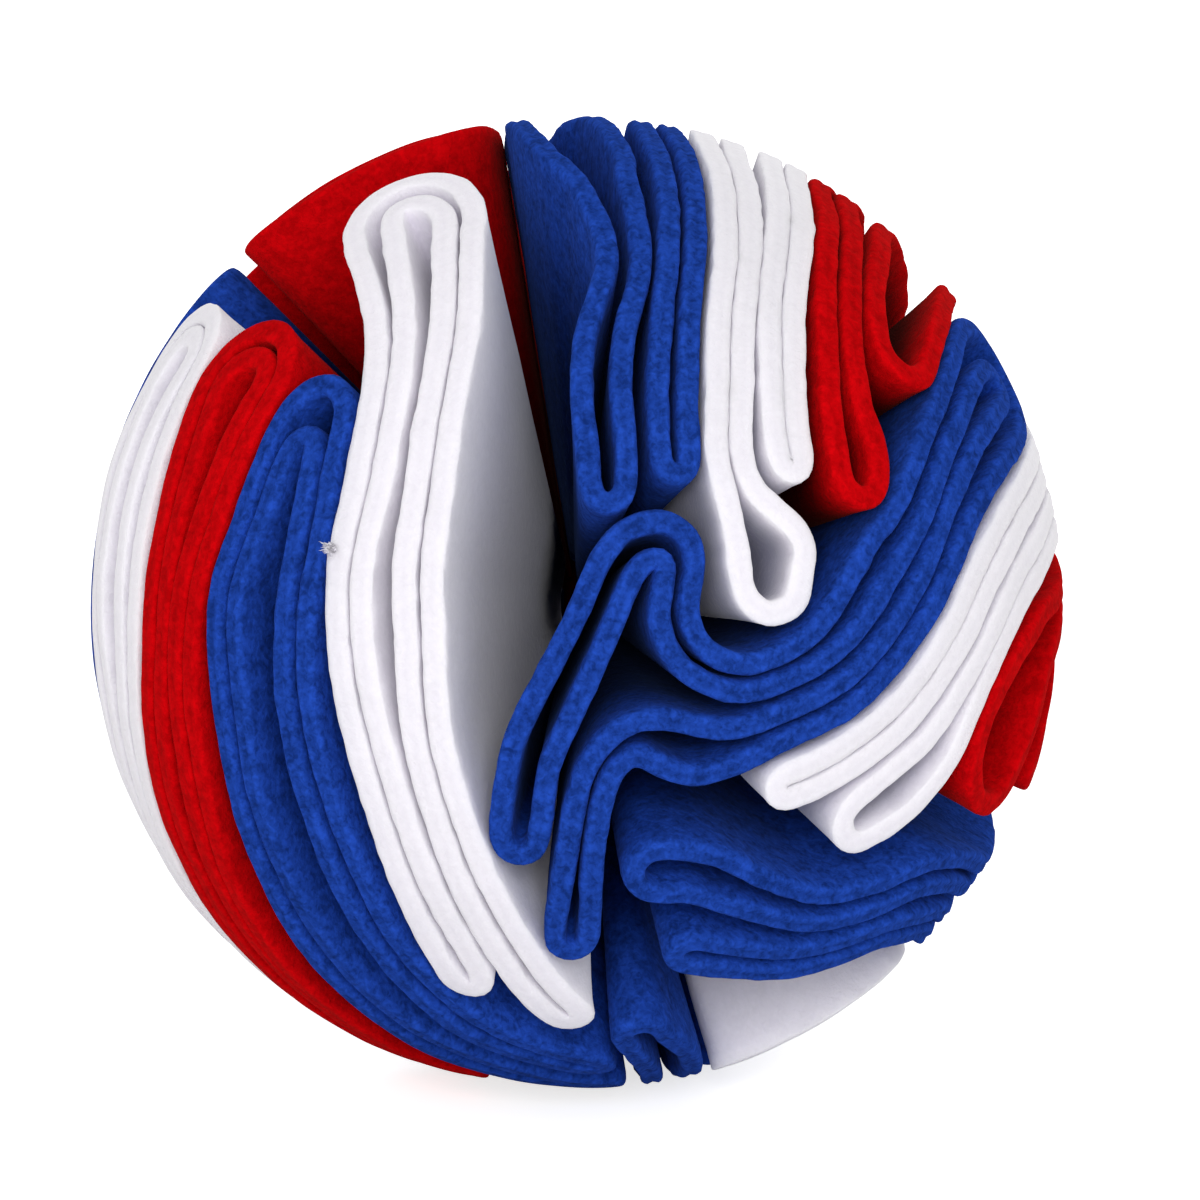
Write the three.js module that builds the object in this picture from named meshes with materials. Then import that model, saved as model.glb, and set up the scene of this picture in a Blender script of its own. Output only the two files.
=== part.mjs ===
// A ball of folded cloth discs, millimetres, +Z up, origin under the ball on the surface it rests on.
// Each disc of fleece is folded in four, so its rim shows as two tongues of two layers each, joined at
// one end by two nested folds. All discs are gathered at the ball's centre, and each stands out from
// there as a cone whose rim lies on the ball.
import * as THREE from 'three';

// Driving sizes
const BALL_RADIUS = 75;
const CENTRE_HEIGHT = 73.5; // the lowest cloth is pressed flat where the ball rests
const FACE_TILT = 15; // degrees that the face with round 0 looks up
const LAYER_PITCH = 3.9; // one layer's middle to the next one's, tightly folded, at the rim
const CLOTH_GAP = 0.3; // between layers, all the way in
const GATHER_RADIUS = 15; // where the discs' gathered tips begin
const TIP_DEPTH = 0.8; // of the closed tip of each disc
const STATION = 16; // longest step along a tongue
const BEND = 28; // degrees a tongue turns between stations at most
const FINE_STEPS = 240; // used to space the stations
const TAIL_STEPS = 4; // around a tongue's own fold
const INNER_FOLD_STEPS = 3;
const OUTER_FOLD_STEPS = 4;
const UPRIGHT = 0.9; // cosine beyond which a direction counts as along Z
const TWIN_SHIFT = 4.15; // from the middle of a disc's two like tongues to each of them

const FLEECE = { roughness: 0.95, metalness: 0 };
const cloth = (colour) => new THREE.MeshStandardMaterial({ color: colour, ...FLEECE });
const BLUE = 0x1f46b4;
const WHITE = 0xe9e6ee;
const RED = 0xc80d16;

// Rows of a tongue, from the nested folds to the tail. clock: degrees clockwise from the top of the
// face. round: degrees from the middle of the face, 90 at its outline and 180 at the middle of the
// back. open: from the middle of one of the tongue's layers to the middle of the other.
const row = (clock, round, open = LAYER_PITCH) => ({ clock, round, open });

// slack: how much further than a round bend the outer fold stands
const DISCS = [
  {
    name: 'left_white_inner', colour: WHITE, slack: 3,
    tongues: [
      [
        row(331.5, 60.4, 6.5), row(328.4, 47.2, 5), row(325, 41, 4.6), row(319.2, 35.8, 4.4),
        row(308, 30.8, 4.4), row(295.5, 28.2, 4.4), row(281, 27.5, 4.4), row(257, 27.8, 4.4),
        row(233, 31, 4.4), row(212, 39.5, 4.6), row(196, 53, 5),
      ],
      [
        row(343.2, 55, 4.6), row(336.5, 38, 4.2), row(315, 24, 4.2), row(284, 19, 4.4),
        row(255, 19, 4.4), row(224, 25, 4.4), row(201, 36.5, 4.6), row(188, 49, 5),
        row(181, 57, 5),
      ],
    ],
  },
  {
    name: 'left_blue', colour: BLUE, slack: 4,
    tongues: [
      [
        row(297, 43, 4), row(288, 42.7, 4), row(280.6, 43.5, 4), row(270.3, 45.6, 4.2),
        row(254, 47.2, 4.6), row(240, 51, 4.6), row(226, 57, 5), row(212, 65, 5.5),
        row(198, 73, 6), row(186, 79, 6), row(177, 84, 5),
      ],
      [
        row(302.2, 36.9, 4.2), row(292, 34.8, 4.3), row(283.3, 34.2, 4.4), row(276.8, 34.2, 4.4),
        row(270.4, 34.6, 4.4), row(262, 35.3, 4.4), row(252, 37, 4.4), row(234, 41, 4.6),
        row(218, 47.5, 5), row(205, 56, 5), row(191, 65, 5.2), row(178, 72, 5),
      ],
    ],
  },
  {
    name: 'left_red', colour: RED, slack: 1,
    tongues: [
      [
        row(301, 60, 4.5), row(294.4, 58.9, 4.8), row(287, 58.2, 4.7), row(278.7, 57.9, 4.4),
        row(270.3, 58.8, 4.2), row(262, 60.6, 4.2), row(254, 63.6, 4.2), row(245, 68, 4.2),
        row(234, 74, 4.2), row(222, 82, 4.2), row(209, 90, 4.2), row(195, 97, 4.6),
      ],
      [
        row(305, 49.8, 4), row(297.8, 49.7, 3.9), row(287, 49.6, 3.9), row(279.6, 50.4, 3.9),
        row(270.3, 52.5, 4), row(256, 55.6, 4.2), row(243, 60, 4.2), row(232, 66.5, 4.2),
        row(220, 74, 4.2), row(207, 82.5, 4.2), row(193, 89.5, 4.6),
      ],
    ],
  },
  {
    name: 'left_white_outer', colour: WHITE, slack: -2,
    tongues: [
      [
        row(300, 79.5, 7), row(291, 79.4, 8), row(282, 79.2, 8.4), row(270, 79.4, 8),
        row(258, 80.7, 7), row(246, 84.5, 5.4), row(234, 91, 4.6), row(222, 99, 4.6),
        row(210, 107, 4.6), row(197, 113.5, 4.6),
      ],
      [
        row(301.5, 66.9, 5), row(294, 66.8, 6), row(284, 66.6, 6.6), row(270, 66.9, 6.4),
        row(257, 69.9, 5), row(246, 75.5, 4.4), row(234, 83, 4.2), row(222, 91, 4.2),
        row(209, 99, 4.4), row(196, 105.5, 4.4),
      ],
    ],
  },
  {
    name: 'left_blue_back', colour: BLUE, slack: 1,
    twins: [
      row(308, 98), row(297, 98), row(285, 97.5), row(272, 97), row(259, 97.5), row(246, 100.5),
      row(234, 106), row(221, 114), row(209, 121),
    ],
  },
  {
    name: 'back_red', colour: RED, slack: 1,
    twins: [
      row(321, 111.5), row(310, 112), row(298, 112), row(285, 111.5), row(272, 111),
      row(260, 111.5), row(249.5, 114), row(239.5, 119), row(228, 126), row(217, 132.5),
    ],
  },
  {
    name: 'back_white', colour: WHITE, slack: 1,
    twins: [
      row(325, 125), row(311, 126), row(298, 126), row(284, 126), row(271, 125.5), row(260, 126.5),
      row(251, 129.5), row(243.5, 133.5), row(235, 139), row(224, 145.5),
    ],
  },
  {
    name: 'back_blue', colour: BLUE, slack: 1,
    twins: [
      row(320, 140), row(305, 140), row(288, 139.5), row(271, 141), row(257, 145.5), row(247, 153),
      row(258, 161), row(286, 161.5), row(307, 157),
    ],
  },
  {
    name: 'mid_red', colour: RED, slack: 1,
    twins: [
      row(346, 165.5), row(297, 175.5), row(198, 167.5), row(186, 153), row(183, 138),
      row(182, 124), row(181, 110), row(181, 97),
    ],
  },
  {
    name: 'crown_red', colour: RED, slack: 1,
    tongues: [
      [
        row(323.5, 90, 4.4), row(331, 88, 4.4), row(339, 87.5, 4.4), row(345.6, 91, 4.4),
        row(347.6, 100, 4.4), row(347.6, 113, 4.4), row(347.3, 127, 4.4), row(347.5, 140, 4.4),
        row(348, 149, 4.6),
      ],
      [
        row(323.5, 97, 4.4), row(330, 95, 4.4), row(336, 95.5, 4.4), row(339.5, 101, 4.4),
        row(340, 112, 4.4), row(338.5, 126, 4.4), row(337, 138, 4.4), row(335, 147, 4.6),
      ],
    ],
  },
  {
    name: 'top_blue', colour: BLUE, slack: 1,
    tongues: [
      [
        row(355.5, 122, 4.4), row(355, 111, 5.5), row(355.8, 100, 8), row(357.6, 88, 12),
        row(359, 78, 12.5), row(1, 69, 11.5), row(4, 59, 7.5), row(7, 50, 5.6), row(8, 44, 5.2),
        row(7, 38, 5.6), row(6, 32, 6), row(7, 25, 6), row(11, 19, 6), row(16, 14, 5.6),
      ],
      [
        row(10, 122, 4.4), row(9, 110, 4.4), row(9, 98, 4.4), row(9.5, 87, 4.4), row(11, 76, 4.6),
        row(13.3, 65, 4.5), row(15.6, 55, 4.3), row(17.1, 47.5, 4.2), row(18.4, 41, 4.2),
        row(20.4, 35.5, 4.4), row(24.3, 28.5, 4.6), row(29.2, 24, 4.6), row(35.7, 20.5, 4.6),
      ],
    ],
  },
  {
    name: 'top_white', colour: WHITE, slack: 1,
    tongues: [
      [
        row(20.5, 122, 4.2), row(18.5, 110, 4.2), row(17.2, 99, 4.6), row(16.9, 87, 4.8),
        row(18.1, 76, 4.4), row(20.2, 68, 4.1), row(22.7, 59, 4), row(24.9, 51.8, 4),
        row(27, 45.2, 4), row(29.6, 39.6, 4), row(33.3, 34.6, 4), row(38, 30.2, 4),
        row(43.8, 26.6, 4), row(49.9, 24.6, 4.2), row(58, 23.4, 5), row(66, 23.4, 8),
        row(75, 24, 11.8), row(84, 23.5, 10),
      ],
      [
        row(30, 122, 4.2), row(27.5, 110, 4.2), row(25.8, 99, 4.4), row(25.2, 87, 4.5),
        row(26.3, 76, 4.2), row(28.9, 64.7, 4), row(31.2, 56.6, 4), row(33.8, 49.6, 4),
        row(37, 43.9, 4), row(41.4, 39.3, 4), row(46.6, 35.5, 4), row(52, 33, 4.2),
        row(57, 31.5, 4.2),
      ],
    ],
  },
  {
    name: 'top_red', colour: RED, slack: 1,
    tongues: [
      [
        row(37.5, 114, 4.4), row(35, 104, 4.4), row(33.4, 95, 4.6), row(32.3, 86, 4.8),
        row(33, 79, 4.8), row(34.5, 73, 4.6), row(37.1, 63.4, 4.6), row(40.3, 56.4, 4.5),
        row(44, 50.7, 4.5), row(48.6, 46.3, 4.8), row(54.1, 42.8, 6), row(59.3, 41.3, 7.5),
        row(63.5, 39.9, 7.6), row(66.3, 39, 7),
      ],
      [
        row(50, 114, 6), row(48, 106, 8.6), row(46.3, 98, 11.5), row(45.2, 90, 13.6),
        row(45.2, 81, 14.4), row(46.5, 73, 13.6), row(48.2, 66, 12.8), row(49.8, 62, 12),
        row(51.5, 59, 11), row(52.6, 57.6, 10),
      ],
    ],
  },
  {
    name: 'right_blue', colour: BLUE, slack: 8,
    tongues: [
      [
        row(57.6, 75, 6.5), row(59, 69, 5.6), row(61.2, 63.3, 5.1), row(63.3, 59, 5),
        row(65.8, 54.3, 5), row(69, 50.3, 5), row(75, 44.8, 5.2), row(82, 39, 6),
        row(91, 34.5, 5.8), row(100, 30.5, 4.8), row(108, 26, 4.3), row(114, 22.5, 4.3),
        row(117, 19, 4.3), row(116, 15.5, 4.4), row(110, 13, 4.6), row(98, 11.5, 4.6),
        row(82, 12, 4.4), row(65, 13.5, 4.8), row(53, 12.5, 5.4), row(46, 9.5, 5.6),
        row(50, 6, 5.6), row(90, 3, 5.6), row(166, 4.5, 5.8), row(187, 9, 6), row(194, 14, 6.4),
        row(196.5, 19, 6.2), row(195, 25, 6.2), row(193.5, 30, 6),
      ],
      [
        row(66.8, 79, 6), row(68.8, 70, 6.2), row(71.4, 62, 6), row(77.4, 53.5, 5.2),
        row(86.6, 47, 4.6), row(95.5, 42, 4.4), row(105, 37.5, 4.2), row(113, 33.5, 4.2),
        row(121, 29.5, 4.4), row(131, 26.5, 5.4), row(141, 23, 8), row(148, 19.5, 7.2),
        row(155, 17.5, 5), row(165, 18, 4.2), row(173, 20.5, 4), row(177, 25, 4), row(179, 30, 4),
        row(180, 35, 4.4), row(180.5, 40, 5.2), row(181, 44, 5.2),
      ],
    ],
  },
  {
    name: 'right_white', colour: WHITE, slack: 1,
    tongues: [
      [
        row(63, 104, 4.2), row(69, 98, 4.2), row(72.5, 90, 4.2), row(74, 80, 4.2),
        row(78.5, 67, 4.2), row(85.5, 57, 4.2), row(93, 52, 4.2), row(101, 48, 4.2),
        row(110, 44, 4.2), row(118, 40, 4.2), row(125, 37, 4.2), row(131.5, 34.5, 4.4),
      ],
      [
        row(70, 109, 4.2), row(76, 102, 4.2), row(79.5, 93, 4.2), row(80.5, 82, 4.2),
        row(84.5, 71.5, 4.2), row(90, 63.5, 4.2), row(97, 58.5, 4.4), row(105, 55, 5.2),
        row(113, 52.8, 7.5), row(120, 50, 9.5), row(127, 47, 8.5),
      ],
    ],
  },
  {
    name: 'right_red', colour: RED, slack: 1,
    tongues: [
      [
        row(53, 128, 4.4), row(63, 125, 4.4), row(74, 118, 4.4), row(82, 108.5, 4.4),
        row(87, 98.5, 4.4), row(89.5, 89, 5), row(92.5, 81.5, 8), row(96, 75.5, 13),
        row(101, 72, 18), row(105, 69.8, 20.5), row(108, 68.5, 20.5),
      ],
      [
        row(53, 136, 4.4), row(65, 133, 4.4), row(78, 126, 4.4), row(88, 116, 4.4),
        row(94, 106, 4.4), row(99, 97, 4.4), row(104, 91, 4.4), row(110, 87, 4.6),
      ],
    ],
  },
  {
    name: 'low_blue', colour: BLUE, slack: 1,
    tongues: [
      [
        row(100, 126.5, 4.4), row(109, 120, 4.4), row(117, 111.5, 4.4), row(121.5, 100, 4.4),
        row(124.5, 88, 4.4), row(125, 76, 4.6), row(128, 66, 5), row(134, 60, 5.4),
        row(142, 53, 5.6), row(148, 45, 6), row(155, 38, 7.5), row(163, 35, 8.5),
      ],
      [
        row(107, 132.5, 4.4), row(116.5, 126, 4.4), row(124, 116, 4.4), row(129, 104, 4.4),
        row(132, 91, 4.4), row(132, 80, 4.4), row(136, 70, 4.4), row(142, 64, 4.4),
        row(149, 59, 4.6), row(155, 54, 5), row(162, 49, 5.6),
      ],
    ],
  },
  {
    name: 'low_white', colour: WHITE, slack: 1,
    tongues: [
      [
        row(50, 144.5, 4.2), row(68, 147.5, 4.2), row(94, 146, 4.2), row(114, 138, 4.2),
        row(127, 127, 4.2), row(135, 114, 4.2), row(139, 103, 4.2), row(141, 95, 4.2),
        row(148, 88, 4.2), row(155, 86.5, 4.4), row(161, 87, 4.6),
      ],
      [
        row(40, 149.5, 4.2), row(63, 154, 4.2), row(99, 152.5, 4.2), row(121, 143, 4.2),
        row(134, 131, 4.2), row(141.5, 117, 4.2), row(146, 105, 4.2), row(149, 97, 4.2),
        row(154, 94, 4.6),
      ],
    ],
  },
  {
    name: 'foot_blue', colour: BLUE, slack: 1,
    tongues: [
      [
        row(7, 148, 4.2), row(22, 163, 4.2), row(95, 170, 4.2), row(140, 159, 4.2),
        row(154, 146, 4.2), row(163, 133, 4.2), row(168.5, 119, 4.4), row(170, 106, 4.4),
        row(169.2, 94, 4.8), row(168.6, 84, 6.4), row(169, 73, 7), row(171.5, 63.5, 6),
      ],
      [
        row(18, 146, 4.2), row(37, 159, 4.2), row(87, 163, 4.2), row(126, 155, 4.2),
        row(144, 142.5, 4.2), row(155, 130, 4.2), row(161.5, 117, 4.2), row(163, 106, 4.2),
        row(162, 97, 4.6),
      ],
    ],
  },
];

const X_AXIS = new THREE.Vector3(1, 0, 0);
const Z_AXIS = new THREE.Vector3(0, 0, 1);
const radians = THREE.MathUtils.degToRad;

// Unit direction from the ball's centre.
function direction({ clock, round }) {
  const out = Math.sin(radians(round));
  const point = new THREE.Vector3(
    out * Math.sin(radians(clock)),
    -Math.cos(radians(round)),
    out * Math.cos(radians(clock)),
  );
  return point.applyAxisAngle(X_AXIS, -radians(FACE_TILT));
}

// The direction that lies `distance` mm along the ball's surface from `from`, towards the unit
// tangent `towards`.
function moved(from, towards, distance) {
  const angle = distance / BALL_RADIUS;
  return from.clone().multiplyScalar(Math.cos(angle)).addScaledVector(towards, Math.sin(angle));
}

// The unit tangent at `at` that points along `along`.
function tangentAt(at, along) {
  return along.clone().addScaledVector(at, -along.dot(at)).normalize();
}

// Stations along a tongue's middle line, closer together where it bends: each with its place, the
// tangent along the tongue, the tangent to its side, and how far it is open. shift moves the tongue
// aside from its rows.
function stations(rows, shift) {
  const route = new THREE.CatmullRomCurve3(rows.map(direction), false, 'catmullrom', 0.5);
  const fine = Array.from({ length: FINE_STEPS + 1 }, (_, k) => {
    const t = k / FINE_STEPS;
    const row = route.getPoint(t).normalize();
    const along = tangentAt(row, route.getTangent(t));
    const beside = along.clone().cross(row);
    const at = moved(row, beside, shift);
    const place = t * (rows.length - 1);
    const first = Math.min(Math.floor(place), rows.length - 2);
    const share = THREE.MathUtils.smoothstep(place - first, 0, 1);
    const open = THREE.MathUtils.lerp(rows[first].open, rows[first + 1].open, share);
    return { at, along, side: tangentAt(at, beside), open };
  });
  let cost = 0;
  fine.forEach((here, k) => {
    if (k > 0) {
      const before = fine[k - 1];
      const length = here.at.distanceTo(before.at) * BALL_RADIUS;
      const turn = here.along.angleTo(tangentAt(here.at, before.along));
      cost += length / STATION + turn / radians(BEND);
    }
    here.cost = cost;
  });
  const count = Math.ceil(cost);
  return Array.from({ length: count + 1 }, (_, k) => {
    const wanted = (cost * k) / count;
    return fine.find((here) => here.cost >= wanted - 1e-9);
  });
}

// Points of a bend from one place to another, on half an ellipse that stands out by `reach`
// (by default as round as it is wide), without its two ends.
function bend(from, to, along, steps, slack = 0) {
  const middle = from.clone().add(to).normalize();
  const across = tangentAt(middle, to.clone().sub(from));
  const out = tangentAt(middle, along);
  const half = (from.angleTo(to) / 2) * BALL_RADIUS;
  return Array.from({ length: steps - 1 }, (_, k) => {
    const angle = (Math.PI * (k + 1)) / steps;
    const aside = moved(middle, across, -half * Math.cos(angle));
    return moved(aside, tangentAt(aside, out), (half + slack) * Math.sin(angle));
  });
}

// The middle line of a disc's rim as a closed run of unit directions.
function rim({ tongues, twins, slack }) {
  const [a, b] = twins
    ? [stations(twins, -TWIN_SHIFT), stations(twins, TWIN_SHIFT)]
    : tongues.map((rows) => stations(rows, 0));
  const handed = Math.sign(a[1].side.dot(b[1].at.clone().sub(a[1].at)));
  const lane = ({ at, side, open }, towards) => moved(at, side, (towards * handed * open) / 2);
  const outerA = a.map((station) => lane(station, -1));
  const innerA = a.map((station) => lane(station, 1));
  const innerB = b.map((station) => lane(station, -1));
  const outerB = b.map((station) => lane(station, 1));
  const tail = (from, to, run) => bend(from.at(-1), to.at(-1), run.at(-1).along, TAIL_STEPS);
  const back = a[0].along.clone().add(b[0].along).negate();
  const line = [
    ...outerA,
    ...tail(outerA, innerA, a),
    ...innerA.reverse(),
    ...bend(innerA.at(-1), innerB[0], back, INNER_FOLD_STEPS),
    ...innerB,
    ...tail(innerB, outerB, b),
    ...outerB.reverse(),
    ...bend(outerB.at(-1), outerA[0], back, OUTER_FOLD_STEPS, slack),
  ];
  return handed > 0 ? line : line.reverse();
}

// Cloth is thinner towards the gather, so that neighbouring layers stay CLOTH_GAP apart all the way.
const thickness = (radius) => (LAYER_PITCH * radius) / BALL_RADIUS - CLOTH_GAP;

// One edge of the cloth at a radius: the rim's middle line moved half the cloth's thickness aside.
function edge(line, radius, sign) {
  return line.map((point, k) => {
    const before = line.at(k - 1);
    const after = line[(k + 1) % line.length];
    const side = tangentAt(point, after.clone().sub(before)).cross(point);
    const angle = (sign * thickness(radius)) / 2 / radius;
    return moved(point, side, angle * BALL_RADIUS).multiplyScalar(radius);
  });
}

// Triangles that fill a closed line seen from the ball's centre.
function fill(line) {
  const middle = line.reduce((sum, point) => sum.add(point), new THREE.Vector3()).normalize();
  const upright = Math.abs(middle.dot(Z_AXIS)) > UPRIGHT;
  const across = tangentAt(middle, upright ? X_AXIS : Z_AXIS);
  const up = middle.clone().cross(across);
  const flat = line.map((point) => {
    const depth = point.dot(middle);
    return new THREE.Vector2(point.dot(across) / depth, point.dot(up) / depth);
  });
  return THREE.ShapeUtils.triangulateShape(flat, []);
}

// A disc's solid: from its gathered tip out along its outer face, across the rim, and back in along
// its inner face.
function foldedDisc(disc) {
  const line = rim(disc);
  const count = line.length;
  const loops = [
    edge(line, GATHER_RADIUS - TIP_DEPTH, -1),
    edge(line, BALL_RADIUS, -1),
    edge(line, BALL_RADIUS, 1),
    edge(line, GATHER_RADIUS, 1),
  ];
  const last = loops.length - 1;
  const index = [];
  for (let ring = 0; ring < last; ring += 1) {
    for (let k = 0; k < count; k += 1) {
      const next = (k + 1) % count;
      const [p, q] = [ring * count + k, ring * count + next];
      const [r, s] = [q + count, p + count];
      index.push(p, r, q, p, s, r);
    }
  }
  const lastStart = last * count;
  fill(loops[0]).forEach(([p, q, r]) => index.push(p, r, q));
  fill(loops[last]).forEach(([p, q, r]) => index.push(lastStart + p, lastStart + q, lastStart + r));
  const positions = loops.flat().flatMap(({ x, y, z }) => [x, y, Math.max(z + CENTRE_HEIGHT, 0)]);
  const geometry = new THREE.BufferGeometry();
  geometry.setAttribute('position', new THREE.Float32BufferAttribute(positions, 3));
  geometry.setIndex(index);
  geometry.computeVertexNormals();
  const mesh = new THREE.Mesh(geometry, cloth(disc.colour));
  mesh.name = disc.name;
  return mesh;
}

// Assembly
const ball = new THREE.Group();
DISCS.forEach((disc) => ball.add(foldedDisc(disc)));

export default ball;
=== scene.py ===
"""A dog's snuffle ball: discs of fleece, each folded in four, all gathered at the ball's middle.

A disc's rim is a closed line on the ball. It runs along one tongue of two layers, round its tail and
back, over to the other tongue, and round that one. The cloth is the cone from that rim to the ball's
middle. Rows are in degrees and millimetres, and everything else is in metres.
"""

from collections import namedtuple
from math import pi, radians

import bpy
import numpy as np
from mathutils.geometry import tessellate_polygon
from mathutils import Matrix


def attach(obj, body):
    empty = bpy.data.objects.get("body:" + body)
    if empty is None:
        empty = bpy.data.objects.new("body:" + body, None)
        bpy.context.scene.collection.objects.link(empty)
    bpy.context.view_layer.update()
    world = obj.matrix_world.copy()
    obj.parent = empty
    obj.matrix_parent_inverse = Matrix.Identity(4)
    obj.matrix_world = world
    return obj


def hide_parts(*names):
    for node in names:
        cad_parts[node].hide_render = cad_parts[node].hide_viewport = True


bl_info = {
    "name": "Snuffle Ball",
    "version": (1, 0, 0),
    "blender": (4, 5, 0),
    "location": "3D View > Sidebar > Snuffle Ball",
    "description": "Folds the fleece discs of a dog's snuffle ball and sets its stage",
    "category": "Object",
}

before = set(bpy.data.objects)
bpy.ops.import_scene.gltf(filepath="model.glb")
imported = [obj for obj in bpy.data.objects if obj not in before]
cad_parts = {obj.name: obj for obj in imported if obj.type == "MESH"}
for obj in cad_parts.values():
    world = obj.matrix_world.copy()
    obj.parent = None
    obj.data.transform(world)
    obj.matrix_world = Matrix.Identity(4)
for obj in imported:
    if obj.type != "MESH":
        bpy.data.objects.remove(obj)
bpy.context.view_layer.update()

# A tongue's middle line, from the nested folds to the tail. clock: degrees clockwise from the top of
# the face. round: degrees from the middle of the face, 90 at its outline and 180 at the middle of the
# back. open: millimetres from the middle of one of the tongue's layers to the middle of the other.
Row = namedtuple("Row", "clock round open", defaults=(3.9,))

# slack: millimetres that the outer fold stands out further than a round bend. A disc has the rows of
# its first and second tongue, or the rows half way between two like ones in twins. shade: how fast the
# shade painted into its colour darkens it with depth, less than 1 where it lies open to the light and
# more where folds close over it.
# lint: where a tuft of lint hangs.
Disc = namedtuple(
    "Disc", "node colour slack first second twins shade lint", defaults=((), (), (), 1, ()))

LEFT_FAN = (
    Disc(
        node="left_white_inner", colour="white", shade=0.88, slack=3, lint=(Row(282.3, 30.2),),
        first=(
            Row(331.5, 60.4, 6.5), Row(328.4, 47.2, 5), Row(325, 41, 4.6), Row(319.2, 35.8, 4.4),
            Row(308, 30.8, 4.4), Row(295.5, 28.2, 4.4), Row(281, 27.5, 4.4), Row(257, 27.8, 4.4),
            Row(233, 31, 4.4), Row(212, 39.5, 4.6), Row(196, 53, 5),
        ),
        second=(
            Row(343.2, 55, 4.6), Row(336.5, 38, 4.2), Row(315, 24, 4.2), Row(284, 19, 4.4),
            Row(255, 19, 4.4), Row(224, 25, 4.4), Row(201, 36.5, 4.6), Row(188, 49, 5),
            Row(181, 57, 5),
        ),
    ),
    Disc(
        node="left_blue", colour="blue", slack=4,
        first=(
            Row(297, 43, 4), Row(288, 42.7, 4), Row(280.6, 43.5, 4), Row(270.3, 45.6, 4.2),
            Row(254, 47.2, 4.6), Row(240, 51, 4.6), Row(226, 57, 5), Row(212, 65, 5.5),
            Row(198, 73, 6), Row(186, 79, 6), Row(177, 84, 5),
        ),
        second=(
            Row(302.2, 36.9, 4.2), Row(292, 34.8, 4.3), Row(283.3, 34.2, 4.4),
            Row(276.8, 34.2, 4.4), Row(270.4, 34.6, 4.4), Row(262, 35.3, 4.4), Row(252, 37, 4.4),
            Row(234, 41, 4.6), Row(218, 47.5, 5), Row(205, 56, 5), Row(191, 65, 5.2),
            Row(178, 72, 5),
        ),
    ),
    Disc(
        node="left_red", colour="red", slack=1,
        first=(
            Row(301, 60, 4.5), Row(294.4, 58.9, 4.8), Row(287, 58.2, 4.7), Row(278.7, 57.9, 4.4),
            Row(270.3, 58.8, 4.2), Row(262, 60.6, 4.2), Row(254, 63.6, 4.2), Row(245, 68, 4.2),
            Row(234, 74, 4.2), Row(222, 82, 4.2), Row(209, 90, 4.2), Row(195, 97, 4.6),
        ),
        second=(
            Row(305, 49.8, 4), Row(297.8, 49.7, 3.9), Row(287, 49.6, 3.9), Row(279.6, 50.4, 3.9),
            Row(270.3, 52.5, 4), Row(256, 55.6, 4.2), Row(243, 60, 4.2), Row(232, 66.5, 4.2),
            Row(220, 74, 4.2), Row(207, 82.5, 4.2), Row(193, 89.5, 4.6),
        ),
    ),
    Disc(
        node="left_white_outer", colour="white", slack=-2,
        first=(
            Row(300, 79.5, 7), Row(291, 79.4, 8), Row(282, 79.2, 8.4), Row(270, 79.4, 8),
            Row(258, 80.7, 7), Row(246, 84.5, 5.4), Row(234, 91, 4.6), Row(222, 99, 4.6),
            Row(210, 107, 4.6), Row(197, 113.5, 4.6),
        ),
        second=(
            Row(301.5, 66.9, 5), Row(294, 66.8, 6), Row(284, 66.6, 6.6), Row(270, 66.9, 6.4),
            Row(257, 69.9, 5), Row(246, 75.5, 4.4), Row(234, 83, 4.2), Row(222, 91, 4.2),
            Row(209, 99, 4.4), Row(196, 105.5, 4.4),
        ),
    ),
    Disc(
        node="left_blue_back", colour="blue", slack=1,
        twins=(
            Row(308, 98), Row(297, 98), Row(285, 97.5), Row(272, 97), Row(259, 97.5),
            Row(246, 100.5), Row(234, 106), Row(221, 114), Row(209, 121),
        ),
    ),
)
BACK_DISCS = (
    Disc(
        node="back_red", colour="red", slack=1,
        twins=(
            Row(321, 111.5), Row(310, 112), Row(298, 112), Row(285, 111.5), Row(272, 111),
            Row(260, 111.5), Row(249.5, 114), Row(239.5, 119), Row(228, 126), Row(217, 132.5),
        ),
    ),
    Disc(
        node="back_white", colour="white", slack=1,
        twins=(
            Row(325, 125), Row(311, 126), Row(298, 126), Row(284, 126), Row(271, 125.5),
            Row(260, 126.5), Row(251, 129.5), Row(243.5, 133.5), Row(235, 139), Row(224, 145.5),
        ),
    ),
    Disc(
        node="back_blue", colour="blue", slack=1,
        twins=(
            Row(320, 140), Row(305, 140), Row(288, 139.5), Row(271, 141), Row(257, 145.5),
            Row(247, 153), Row(258, 161), Row(286, 161.5), Row(307, 157),
        ),
    ),
    Disc(
        node="mid_red", colour="red", slack=1,
        twins=(
            Row(346, 165.5), Row(297, 175.5), Row(198, 167.5), Row(186, 153), Row(183, 138),
            Row(182, 124), Row(181, 110), Row(181, 97),
        ),
    ),
)
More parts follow.
